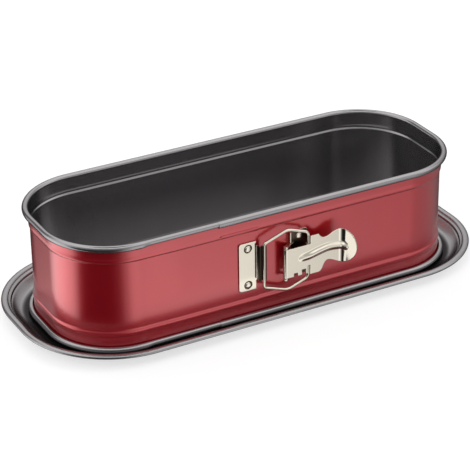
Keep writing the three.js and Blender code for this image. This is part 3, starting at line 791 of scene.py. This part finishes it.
def addCatchPlate():
    bend, steps, dip = catch["riserBend"], catch["seatSteps"], catch["seatDip"]
    line = [(plateLeft, catchOut), (plateRight - bend, catchOut)]
    line += bezier([line[-1], (plateRight, catchOut), (plateRight + bend / 2, catchOut + bend)],
                   catch["bendSteps"])
    line += arc(crestX, crestOut, catch["crestRadius"], 180 - dip / 2, dip, steps)
    line += arc(catchWireX - catch["seatPlay"], wireOut, seatRadius, 180 + dip, 270, steps)
    line += arc(catchWireX, wireOut, seatRadius, 270, 360, steps)
    line += [(catchWireX + seatRadius, wireOut + catch["lip"])]
    at, length = follow(cleanLine(line))
    tall, foot, corner = catch["height"] / 2, catch["hookBottom"], catch["corner"]
    wide = catch["width"] - bend
    outline = arc(corner, corner - tall, corner, 180, 270, catch["bendSteps"])
    outline += [(wide, -tall), (wide, -foot), (length, -foot), (length, hookTop), (wide, hookTop)]
    outline += [(wide, tall)]
    outline += arc(corner, tall - corner, corner, 90, 180, catch["bendSteps"])
    holes, marks = [], []
    dish, slope = catch["dishRadius"], catch["dishSlope"]
    for height in catchRivetHeights:
        holes.append(arc(catch["rivetX"], height, rivetBore, 360, 0, latch["boreSteps"])[:-1])
        for r in (dish, dish - slope / 2, dish - slope):
            marks.append(arc(catch["rivetX"], height, r, 0, 360, catch["dishSteps"]))
    bent = bendAlong(at)

    def place(s, height, rise):
        if rise > 0:
            away = min(math.dist((s, height), (catch["rivetX"], h)) for h in catchRivetHeights)
            rise -= catch["dishDepth"] * swell((dish - away) / slope)
        return bent(s, height, rise)

    points, faces = formedSheet(outline, holes, place, latch["sheet"], catch["spacing"], marks)
    # painted shade on the hook's outer side and in the rivet dishes, bright nickel on the rest of the plate
    front = -wallFront - catchOut - latch["sheet"]
    rivets = [(catchRivetX, latchZ + h) for h in catchRivetHeights]
    kinds = []
    for face in faces:
        corners = [points[i] for i in face]
        onHook = all(x > plateRight - catch["paintedShadeMargin"] and y < front for x, y, _ in corners)
        inDish = any(all(math.dist((x, z), middle) < dish - slope / 2 for x, _, z in corners)
                     for middle in rivets)
        kinds.append(int(onHook or inDish))
    addPiece("catch_plate", points, faces, "ring", [nickelPlate, paintedShadeNickel], kinds)


# the bracket: a flanged plate on the right wall, with two ears that take the pin
bracket = dict(
    width=14.2, left=5.1, top=18, rivetMargin=2.1, corner=1.4, flange=3,
    earThickness=1, earClearance=0.3, earFoot=3.8, earMargin=1.1, rivetX=12.4,
    spacing=0.8, bendSteps=8, earSteps=20, paintedShadeDepth=0.01,
)


def addBracket():
    sheet, gap, steps = latch["sheet"], latch["seatGap"], bracket["bendSteps"]
    middle = gap + sheet / 2
    left = pin["x"] + bracket["left"]
    right = left + bracket["width"]
    edge = left + sheet / 2
    line = [(edge, bracket["flange"]), (edge, middle + sheet)]
    line += bezier([line[-1], (edge, middle), (edge + sheet, middle)], steps) + [(right, middle)]
    at, length = follow(cleanLine(line))
    corner, top = bracket["corner"], bracket["top"]
    outline = [(0, -bracketBottom)] + arc(length - corner, corner - bracketBottom, corner, -90, 0, steps)
    outline += arc(length - corner, top - corner, corner, 0, 90, steps) + [(0, top)]
    boreX = length - (right - bracketRivetX)
    holes = [arc(boreX, h, rivetBore, 360, 0, latch["boreSteps"])[:-1] for h in bracketRivetHeights]
    shapes = [formedSheet(outline, holes, bendAlong(at), sheet, bracket["spacing"])]
    earRight = left + bracket["earFoot"]
    ear = [(left, gap), (earRight, gap), (earRight, gap + sheet)]
    ear += arc(pin["x"], pinOut, barrelRadius, 0, 180, bracket["earSteps"])
    bore = arc(pin["x"], pinOut, pin["radius"] + pin["clearance"], 360, 0, latch["boreSteps"])[:-1]
    away = bracket["earClearance"] + bracket["earThickness"] / 2
    for height in (lever["tongueTop"] + away, -lever["tongueBottom"] - away):
        shapes.append(formedSheet(ear, [bore], lambda x, out, rise: atLatch(x, out, height + rise),
                                  bracket["earThickness"], bracket["spacing"]))
    points, faces = merge(shapes)
    # painted shade on the plate's front face under the lever, bright nickel on its flange and ears
    front = -wallFront - gap - sheet
    kinds = [int(all(abs(points[i][1] - front) < bracket["paintedShadeDepth"] for i in face)) for face in faces]
    addPiece("lever_bracket", points, faces, "ring", [nickelPlate, paintedShadeNickel], kinds)


# the lever: a barrel round the pin, a notched tongue, shoulders, a swaying rib and a thumb tab past a crease
lever = dict(
    wireSeat=17.65, tongueTop=8.3, tongueBottom=13.2,
    shoulderStart=18.2, shoulderEnd=24.5, shoulderHeight=14.4, slotWidth=1.9, slotDepth=5.8,
    smallNotch=(5.6, 3.1, 2.4), largeNotch=(11.8, 3.2, 3.8),
    neckTop=(29, 10.9), neckBottom=(31.8, -6.8),
    tabCentre=(40.6, 1.3), tabRadius=13, tabUpperJoin=120, tabLowerJoin=-74, tabOverrun=2,
    creaseX=40.2, creaseRadius=6, creaseAngle=53,
    ribStart=8.9, ribPastCrease=1.7, ribRise=2, ribSway=2.85, ribWidth=7.2, ribEndRadius=3.4, ribClimb=12,
    # the rib's sway and width at even steps, as shares of the two values above
    ribShares=((-0.24, 0.86), (0, 0.97), (0.58, 1), (1, 0.99), (0.76, 0.99), (0.16, 0.98)),
    ribEndTurn=0.08, ribSteps=80, ribLines=9,
    lugHeight=3.6, lugStart=120, lugEnd=330, barrelTurn=280,
    spacing=0.42, rollSteps=40, tongueSteps=60, creaseSteps=24, neckSteps=12, tabSteps=56,
    sharpAngle=30,
)


# the lever's bent middle line, from the barrel's lip, with the pin at zero
def leverLine(r):
    creaseX, radius, angle = lever["creaseX"], lever["creaseRadius"], lever["creaseAngle"]
    crease = math.radians(angle)
    line = arc(0, 0, r, 90 + lever["barrelTurn"], 90, lever["rollSteps"])
    line += [(x, r) for x in np.linspace(0, creaseX, lever["tongueSteps"])[1:]]
    line += arc(creaseX, r + radius, radius, -90, angle - 90, lever["creaseSteps"])
    tabX, _ = lever["tabCentre"]
    far = tabX + lever["tabRadius"] + lever["tabOverrun"] - creaseX - radius * crease
    lastX, lastOut = line[-1]
    line += [(lastX + far * math.cos(crease), lastOut + far * math.sin(crease))]
    return cleanLine(line)


# outline of the lever's flat blank, counted from the pin, against the clock from the barrel's lower lip
def leverOutline(barrelLength):
    bottom = -lever["tongueBottom"]
    sx, ex, tall = lever["shoulderStart"], lever["shoulderEnd"], lever["shoulderHeight"]
    steps = lever["neckSteps"]
    outline = [(-barrelLength, bottom)]
    slot = (sx - lever["slotWidth"], lever["slotWidth"], lever["slotDepth"])
    for x, width, depth in (lever["smallNotch"], lever["largeNotch"], slot):
        outline += [(x, bottom), (x, bottom + depth), (x + width, bottom + depth), (x + width, bottom)]
    # the slot's second side goes on down to the shoulder
    outline.pop()
    outline += [(sx, -tall), (ex, -tall)]
    nbx, nbz = lever["neckBottom"]
    hollow = (nbx - ex) / 2
    outline += bezier([(ex, -tall), (ex + hollow, -tall), (nbx - hollow, nbz), (nbx, nbz)], steps)
    rim = arc(*lever["tabCentre"], lever["tabRadius"], lever["tabLowerJoin"], lever["tabUpperJoin"],
              lever["tabSteps"])
    lowX, lowZ = rim[0]
    swing = (lowX - nbx) / 3
    outline += bezier([(nbx, nbz), (nbx + swing, nbz), (lowX - swing, lowZ), (lowX, lowZ)], steps)
    outline += rim[1:]
    ntx, ntz = lever["neckTop"]
    outline += bezier([rim[-1], ((ntx + rim[-1][0]) / 2, ntz), (ntx, ntz)], steps // 2)
    outline += bezier([(ntx, ntz), ((ex + ntx) / 2, ntz), (ex, tall)], steps * 2 // 3)
    return outline + [(sx, tall), (sx, lever["tongueTop"]), (-barrelLength, lever["tongueTop"])]


def addLever():
    r = barrelRadius - latch["sheet"] / 2
    barrelLength = r * math.radians(lever["barrelTurn"])
    ribStart = lever["ribStart"]
    creaseEnd = lever["creaseX"] + lever["creaseRadius"] * math.radians(lever["creaseAngle"])
    ribLength = creaseEnd + lever["ribPastCrease"] - ribStart
    at, _ = follow(leverLine(r))
    bent = bendAlong(at, pin["x"], pinOut)

    # the rib's middle, half width and height at a distance from the pin
    def ribAt(s):
        share = (s - ribStart) / ribLength
        if not 0 < share < 1:
            return 0, 0, 0
        sway, width = smoothCurve(lever["ribShares"], share)
        fromEnd = min(share, 1 - share) * ribLength
        bulge = math.sqrt(1 - (1 - min(fromEnd / lever["ribEndRadius"], 1)) ** 2)
        high = min(bulge, math.sin(math.pi / 2 * min((s - ribStart) / lever["ribClimb"], 1)))
        return sway * lever["ribSway"], width * lever["ribWidth"] / 2 * bulge, lever["ribRise"] * high

    def place(s, height, rise):
        centre, half, high = ribAt(s)
        if half > 0 and abs(height - centre) < half:
            rise += high * (1 + math.cos(math.pi * (height - centre) / half)) / 2
        return bent(s + barrelLength, height, rise)

    turns = np.linspace(lever["ribEndTurn"], math.pi - lever["ribEndTurn"], lever["ribSteps"])
    stations = ribStart + ribLength * (1 - np.cos(turns)) / 2
    marks = [[(s, ribAt(s)[0] + share * ribAt(s)[1]) for s in stations]
             for share in np.linspace(-1, 1, lever["ribLines"])]
    sheet, spacing = latch["sheet"], lever["spacing"]
    shapes = [formedSheet(leverOutline(barrelLength), [], place, sheet, spacing, marks)]
    # lugs curl from the back of the tongue round the bail's wire
    curl = arc(lever["wireSeat"], wireOut - pinOut, seatRadius, lever["lugEnd"], lever["lugStart"],
               lever["rollSteps"])
    lugAt, lugLength = follow(cleanLine(curl))
    lugBent = bendAlong(lugAt, pin["x"], pinOut)
    for foot in (lever["tongueTop"] - lever["lugHeight"], lever["slotDepth"] - lever["tongueBottom"]):
        top = foot + lever["lugHeight"]
        blank = [(0, foot), (lugLength, foot), (lugLength, top), (0, top)]
        shapes.append(formedSheet(blank, [], lugBent, sheet, spacing))
    points, faces = merge(shapes)
    addPiece("lever", points, faces, "lever", [nickelPlate], sharp=lever["sharpAngle"])


# the bail: one bent wire, its ends meeting behind the tongue
bail = dict(
    wireRadius=1.1, wireClearance=0.15, length=33.95,
    catchHalf=16.3, widestHalf=22.6, widestX=17.8, leverHalf=17,
    bend=3.4, catchBend=1.6, seam=0.4, sides=20, bendSteps=9,
)


def addBail():
    corners = [(0, bail["leverHalf"], bail["bend"]),
               (bail["widestX"] - bail["length"], bail["widestHalf"], bail["bend"]),
               (-bail["length"], bail["catchHalf"], bail["catchBend"])]
    corners += [(x, -z, bend) for x, z, bend in reversed(corners)]
    seam = bail["seam"] / 2
    line = [(0, seam)]
    for i, (x, z, bend) in enumerate(corners):
        before = np.array(corners[i - 1][:2] if i else (0, seam))
        after = np.array(corners[i + 1][:2] if i + 1 < len(corners) else (0, -seam))
        at = np.array((x, z))
        start = at + (before - at) / np.linalg.norm(before - at) * bend
        end = at + (after - at) / np.linalg.norm(after - at) * bend
        line += [tuple(start)] + bezier([start, at, end], bail["bendSteps"])
    line = cleanLine(line + [(0, -seam)])
    along, _ = directions(line)
    count = bail["sides"]
    points = []
    for (x, z), (dx, dz) in zip(line, along):
        for turn in np.linspace(0, 2 * math.pi, count, endpoint=False):
            side, out = bail["wireRadius"] * math.cos(turn), bail["wireRadius"] * math.sin(turn)
            points.append(atLatch(leverWireX + x - dz * side, wireOut + out, z + dx * side))
    addPiece("bail", points, skin(len(line), count), "bail", [nickelPlate])


# turned shape: a profile of radius and height, spun round an axis
def spin(profile, sides, place):
    turns = np.linspace(0, 2 * math.pi, sides, endpoint=False)
    points = [place(r * math.cos(t), r * math.sin(t), rise) for r, rise in profile for t in turns]
    return points, skin(len(profile), sides)


# the rivets: low dome outside, flat upset tail inside unless it ends flush
rivet = dict(
    shank=1.5, clearance=0.1, head=2.3, headHeight=1.2, tailHeight=0.6, soft=0.12, tailFace=0.3,
    flatness=0.5, domeTurn=(8, 84), domeSteps=14, sides=40, sharpAngle=50,
)


def addRivet(node, x, height, seat, tailSeat, tailHeight):
    head, shank, soft = rivet["head"], rivet["shank"], rivet["soft"]
    tailRadius = head if tailHeight else shank
    tail = tailSeat - tailHeight
    profile = [(tailRadius * rivet["tailFace"], tail), (tailRadius - soft, tail), (tailRadius, tail + soft)]
    if tailHeight:
        profile += [(tailRadius, tailSeat), (shank, tailSeat)]
    profile += [(shank, seat), (head - soft, seat), (head, seat + soft)]
    for t in np.radians(np.linspace(*rivet["domeTurn"], rivet["domeSteps"])):
        rise = soft + (rivet["headHeight"] - soft) * math.sin(t)
        profile.append((head * math.cos(t) ** rivet["flatness"], seat + rise))
    points, faces = spin(profile, rivet["sides"], lambda a, b, rise: atLatch(x + b, rise, height + a))
    addPiece(node, points, faces, "ring", [nickelPlate], sharp=rivet["sharpAngle"])


# the lever's pin, with a low head at each end
pin = dict(
    x=0.9, radius=0.8, clearance=0.12, headRadius=1.5, headHeight=0.7, soft=0.15, headFace=0.4,
    sides=28, sharpAngle=50,
)


def addPin():
    away = bracket["earClearance"] + bracket["earThickness"] + latch["seatGap"]
    head, tall, soft = pin["headRadius"], pin["headHeight"], pin["soft"]
    ends = [(pin["radius"], 0), (head, 0), (head, tall - 2 * soft), (head - 2 * soft, tall - soft / 2),
            (head * pin["headFace"], tall)]
    profile = [(r, -lever["tongueBottom"] - away - rise) for r, rise in reversed(ends)]
    profile += [(r, lever["tongueTop"] + away + rise) for r, rise in ends]
    points, faces = spin(profile, pin["sides"], lambda a, b, rise: atLatch(pin["x"] + a, pinOut - b, rise))
    addPiece("lever_hinge_pin", points, faces, "ring", [nickelPlate],
             sharp=pin["sharpAngle"])


# places that several pieces share, read by the functions above: first the ring's plan and heights
halfLength = ring["length"] / 2 - ring["curlRadius"]
halfWidth = ring["width"] / 2 - ring["curlRadius"]
planRadius = ring["cornerRadius"] - ring["curlRadius"]
cornerX = halfLength - planRadius
cornerY = halfWidth - planRadius
lowCurlZ = tray["sheet"] + latch["seatGap"] + ring["curlRadius"]
rimCurlZ = lowCurlZ + ring["bandHeight"] - 2 * ring["curlRadius"]
upperBeadZ = rimCurlZ + ring["curlRadius"] - ring["beadToEdge"]
lowerBeadZ = lowCurlZ - ring["curlRadius"] + ring["beadToEdge"]
latchZ = (lowCurlZ + rimCurlZ) / 2
wallFront = halfWidth - ring["curlRadius"] + ring["sheet"] - ring["beadDepth"]
plyStep = ring["sheet"] + ring["plyGap"]
wallStep = ring["sheet"] + ring["wallGap"]
neckedRadius = ring["curlRadius"] - plyStep

# the latch's pin, wire and catch, outward from the wall and along it
barrelRadius = pin["radius"] + pin["clearance"] + latch["sheet"]
pinOut = latch["standoff"] - barrelRadius
wireOut = latch["standoff"] - latch["sheet"] - bail["wireClearance"] - bail["wireRadius"]
seatRadius = bail["wireRadius"] + bail["wireClearance"] + latch["sheet"] / 2
leverWireX = pin["x"] + lever["wireSeat"]
catchWireX = leverWireX - bail["length"]
seatDip = math.radians(catch["seatDip"])
crestX = catchWireX - catch["seatPlay"] - (seatRadius + catch["crestRadius"]) * math.cos(seatDip)
crestOut = wireOut - (seatRadius + catch["crestRadius"]) * math.sin(seatDip)
catchOut = plyStep + latch["seatGap"] + latch["sheet"] / 2
plateRight = crestX - catch["crestRadius"] - catch["riserLean"] - catch["riserBend"] / 2
plateLeft = plateRight - catch["width"]
hookTop = bail["catchHalf"] - bail["catchBend"] - bail["wireClearance"]

# the ring's lap, which the catch plate sets, and the rivets
tongueEndX = plateRight + ring["tongueMargin"]
notchX = tongueEndX - ring["tongueLength"]
lapX = notchX - ring["curlEngagement"]
rivetBore = rivet["shank"] + rivet["clearance"]
catchRivetX = plateLeft + catch["rivetX"]
catchRivetHeights = (catch["height"] / 2 - catch["rivetInset"], catch["rivetInset"] - catch["height"] / 2)
bracketBottom = (lever["tongueBottom"] + bracket["earClearance"] + bracket["earThickness"]
                 + bracket["earMargin"])
bracketRivetHeights = (bracket["top"] - catch["rivetInset"], bracket["rivetMargin"] - bracketBottom)
bracketRivetX = pin["x"] + bracket["rivetX"]

addRing()
print("ring made")

addTray()
print("tray made")

addCatchPlate()
addBracket()
addLever()
addBail()
catchSeat = catchOut + latch["sheet"] / 2 + latch["seatGap"] - catch["dishDepth"]
bracketSeat = latch["sheet"] + 2 * latch["seatGap"]
insideWall = -ring["sheet"] - latch["seatGap"]
for where, catchHeight, bracketHeight in zip(("upper", "lower"), catchRivetHeights, bracketRivetHeights):
    addRivet("catch_rivet_" + where, catchRivetX, catchHeight, catchSeat, plyStep, 0)
    addRivet("bracket_rivet_" + where, bracketRivetX, bracketHeight, bracketSeat, insideWall,
             rivet["tailHeight"])
addPin()
print("latch made")
